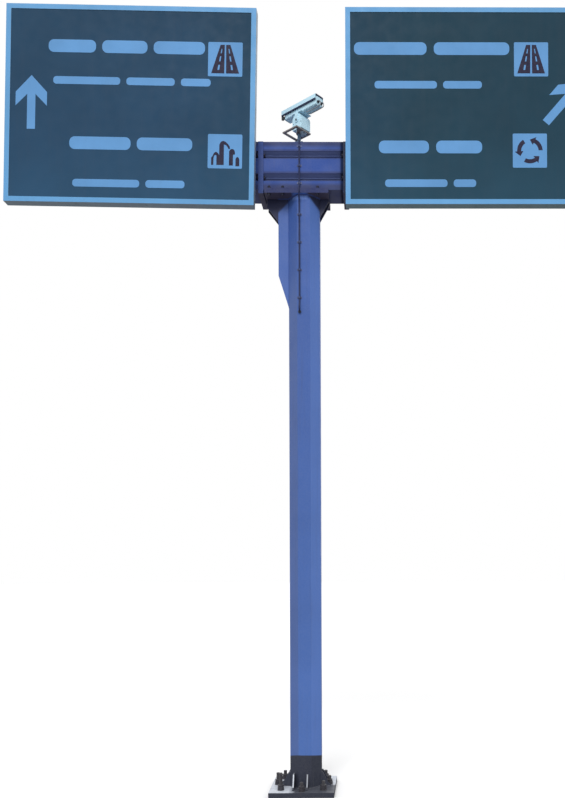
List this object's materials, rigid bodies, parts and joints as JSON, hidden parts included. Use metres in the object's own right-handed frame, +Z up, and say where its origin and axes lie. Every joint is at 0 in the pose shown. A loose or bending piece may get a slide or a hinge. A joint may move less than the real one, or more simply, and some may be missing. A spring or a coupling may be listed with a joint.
{
  "type": "cantilever sign gantry",
  "caption": "Butterfly sign gantry: a faceted mast on a bolted base carries a grooved box beam with a framed sign panel on each arm and a pan-and-tilt camera on top.",
  "frame": {"origin": "on the mast's axis in the base plate's underside, where the gantry stands on its footing", "axes": "+Z up along the mast, +X along the beam to the right as seen from the front of the signs, -Y the way the signs face"},
  "size_m": [5.758, 0.649, 7.7454],
  "materials": {
    "base_paint": "black gloss paint over steel, chipped at the edges",
    "mast_paint": "satin blue paint over steel, black below 0.42 m",
    "haunch_paint": "satin blue paint over steel",
    "flange_paint": "satin blue paint over steel",
    "beam_paint": "satin blue paint over steel",
    "post_paint": "satin blue paint over steel",
    "rail_metal": "plain extruded aluminium",
    "panel_face": "dark blue-green sign facing",
    "panel_frame": "pale blue sign border over aluminium channel",
    "cable_sheath": "matt sheath",
    "clip_metal": "galvanised",
    "gland_plastic": "matt",
    "tray_metal": "dark grey, dull",
    "camera_paint": "white satin powder coat",
    "window_glass": "clear, dark behind"
  },
  "bodies": {
    "gantry": {"base_plate": "base_paint", "base_gussets": "base_paint", "mast_shaft": "mast_paint", "head_haunch": "haunch_paint", "head_gussets": "haunch_paint", "mast_head_flange": "flange_paint", "beam_foot_flange": "flange_paint", "beam_centre": "beam_paint", "centre_flange_left": "flange_paint", "centre_flange_right": "flange_paint", "arm_flange_left": "flange_paint", "arm_flange_right": "flange_paint", "arm_left": "beam_paint", "arm_right": "beam_paint", "arm_cap_left": "beam_paint", "arm_cap_right": "beam_paint", "post_seats_left": "post_paint", "post_seats_right": "post_paint", "panel_posts_left": "post_paint", "panel_posts_right": "post_paint", "panel_rails_left": "rail_metal", "panel_rails_right": "rail_metal", "panel_sheet_left": "panel_face", "panel_sheet_right": "panel_face", "frame_bars_left": "panel_frame", "frame_bars_right": "panel_frame", "frame_sides_left": "panel_frame", "frame_sides_right": "panel_frame", "cable": "cable_sheath", "cable_clips": "clip_metal", "cable_gland": "gland_plastic", "camera_post": "tray_metal", "camera_tray": "tray_metal", "pan_collar": "camera_paint"},
    "pan_head": {"pan_tilt_head": "camera_paint"},
    "camera": {"tilt_cradle": "camera_paint", "camera_housing": "camera_paint", "camera_window": "window_glass", "camera_glands": "gland_plastic", "sun_shield": "camera_paint"}
  },
  "joints": [
    {"name": "camera_pan", "type": "hinge", "parent": "gantry", "child": "pan_head", "pos_m": [-0.023, -0.1, 6.6193], "axis": [0, 0, 1], "range_deg": [-170, 170]},
    {"name": "camera_tilt", "type": "hinge", "parent": "pan_head", "child": "camera", "pos_m": [-0.023, -0.1, 6.7113], "axis": [-0.6428, -0.766, 0], "range_deg": [-20, 45]}
  ]
}
